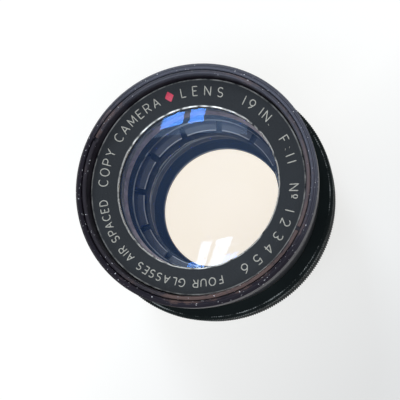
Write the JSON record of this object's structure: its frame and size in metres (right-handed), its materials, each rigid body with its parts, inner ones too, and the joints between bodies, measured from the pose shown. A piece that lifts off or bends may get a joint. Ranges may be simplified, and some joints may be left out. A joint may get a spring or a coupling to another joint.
{
  "type": "barrel-mounted process lens",
  "caption": "Black barrel-mounted large-format lens: worn front rim, engraved name ring, coated air-spaced glasses, knurled ring that turns and closes a rosette iris.",
  "frame": {"origin": "middle of the rear rim, which the lens stands on, on the optical axis", "axes": "+Z along the optical axis, towards the front rim; +X and +Y across it"},
  "size_m": [0.085, 0.085, 0.06],
  "materials": {
    "worn_enamel": "black enamel over brass, rubbed to brown on the edges",
    "slate_enamel": "matte slate-black enamel, engraved",
    "black_enamel": "satin black enamel",
    "black_anodise": "black anodised, knurled",
    "blued_steel": "blued screws",
    "iris_steel": "blackened spring steel",
    "coated_glass": "polished, blue anti-reflection coating"
  },
  "bodies": {
    "barrel": {"front_rim": "worn_enamel", "lock_ring": "worn_enamel", "name_ring": "slate_enamel", "front_cell": "black_enamel", "front_positive_lens": "coated_glass", "front_negative_lens": "coated_glass", "front_spacer": "black_enamel", "main_barrel": "black_enamel", "board_seat_ring": "black_enamel", "rim_lock_screw_1": "blued_steel", "rim_lock_screw_2": "blued_steel", "rim_lock_screw_3": "blued_steel", "iris_base_plate": "black_enamel", "iris_plate_screw_1": "blued_steel", "iris_plate_screw_2": "blued_steel", "iris_plate_screw_3": "blued_steel", "iris_retainer": "black_enamel", "rear_cell": "black_enamel", "rear_negative_lens": "coated_glass", "rear_positive_lens": "coated_glass", "rear_spacer": "black_enamel", "rear_retaining_ring": "black_enamel"},
    "aperture": {"aperture_ring": "black_anodise", "iris_drive_ring": "black_enamel", "drive_screw": "blued_steel"},
    "blade_01": {"iris_blade_01": "iris_steel"},
    "blade_02": {"iris_blade_02": "iris_steel"},
    "blade_03": {"iris_blade_03": "iris_steel"},
    "blade_04": {"iris_blade_04": "iris_steel"},
    "blade_05": {"iris_blade_05": "iris_steel"},
    "blade_06": {"iris_blade_06": "iris_steel"},
    "blade_07": {"iris_blade_07": "iris_steel"},
    "blade_08": {"iris_blade_08": "iris_steel"},
    "blade_09": {"iris_blade_09": "iris_steel"},
    "blade_10": {"iris_blade_10": "iris_steel"},
    "blade_11": {"iris_blade_11": "iris_steel"},
    "blade_12": {"iris_blade_12": "iris_steel"}
  },
  "joints": [
    {"name": "aperture_turn", "type": "hinge", "parent": "barrel", "child": "aperture", "pos_m": [0, 0, 0.026], "axis": [0, 0, 1], "range_deg": [0, 74.4]},
    {"name": "blade_01_swing", "type": "hinge", "parent": "barrel", "child": "blade_01", "pos_m": [0.0265, 0, 0.026], "axis": [0, 0, 1], "range_deg": [0, 37.3]},
    {"name": "blade_02_swing", "type": "hinge", "parent": "barrel", "child": "blade_02", "pos_m": [0.02295, 0.01325, 0.026], "axis": [0, 0, 1], "range_deg": [0, 37.3]},
    {"name": "blade_03_swing", "type": "hinge", "parent": "barrel", "child": "blade_03", "pos_m": [0.01325, 0.02295, 0.026], "axis": [0, 0, 1], "range_deg": [0, 37.3]},
    {"name": "blade_04_swing", "type": "hinge", "parent": "barrel", "child": "blade_04", "pos_m": [0, 0.0265, 0.026], "axis": [0, 0, 1], "range_deg": [0, 37.3]},
    {"name": "blade_05_swing", "type": "hinge", "parent": "barrel", "child": "blade_05", "pos_m": [-0.01325, 0.02295, 0.026], "axis": [0, 0, 1], "range_deg": [0, 37.3]},
    {"name": "blade_06_swing", "type": "hinge", "parent": "barrel", "child": "blade_06", "pos_m": [-0.02295, 0.01325, 0.026], "axis": [0, 0, 1], "range_deg": [0, 37.3]},
    {"name": "blade_07_swing", "type": "hinge", "parent": "barrel", "child": "blade_07", "pos_m": [-0.0265, 0, 0.026], "axis": [0, 0, 1], "range_deg": [0, 37.3]},
    {"name": "blade_08_swing", "type": "hinge", "parent": "barrel", "child": "blade_08", "pos_m": [-0.02295, -0.01325, 0.026], "axis": [0, 0, 1], "range_deg": [0, 37.3]},
    {"name": "blade_09_swing", "type": "hinge", "parent": "barrel", "child": "blade_09", "pos_m": [-0.01325, -0.02295, 0.026], "axis": [0, 0, 1], "range_deg": [0, 37.3]},
    {"name": "blade_10_swing", "type": "hinge", "parent": "barrel", "child": "blade_10", "pos_m": [0, -0.0265, 0.026], "axis": [0, 0, 1], "range_deg": [0, 37.3]},
    {"name": "blade_11_swing", "type": "hinge", "parent": "barrel", "child": "blade_11", "pos_m": [0.01325, -0.02295, 0.026], "axis": [0, 0, 1], "range_deg": [0, 37.3]},
    {"name": "blade_12_swing", "type": "hinge", "parent": "barrel", "child": "blade_12", "pos_m": [0.02295, -0.01325, 0.026], "axis": [0, 0, 1], "range_deg": [0, 37.3]}
  ],
  "couplings": [
    {"joint": "blade_01_swing", "follows": "aperture_turn", "ratio": 0.5},
    {"joint": "blade_02_swing", "follows": "aperture_turn", "ratio": 0.5},
    {"joint": "blade_03_swing", "follows": "aperture_turn", "ratio": 0.5},
    {"joint": "blade_04_swing", "follows": "aperture_turn", "ratio": 0.5},
    {"joint": "blade_05_swing", "follows": "aperture_turn", "ratio": 0.5},
    {"joint": "blade_06_swing", "follows": "aperture_turn", "ratio": 0.5},
    {"joint": "blade_07_swing", "follows": "aperture_turn", "ratio": 0.5},
    {"joint": "blade_08_swing", "follows": "aperture_turn", "ratio": 0.5},
    {"joint": "blade_09_swing", "follows": "aperture_turn", "ratio": 0.5},
    {"joint": "blade_10_swing", "follows": "aperture_turn", "ratio": 0.5},
    {"joint": "blade_11_swing", "follows": "aperture_turn", "ratio": 0.5},
    {"joint": "blade_12_swing", "follows": "aperture_turn", "ratio": 0.5}
  ]
}
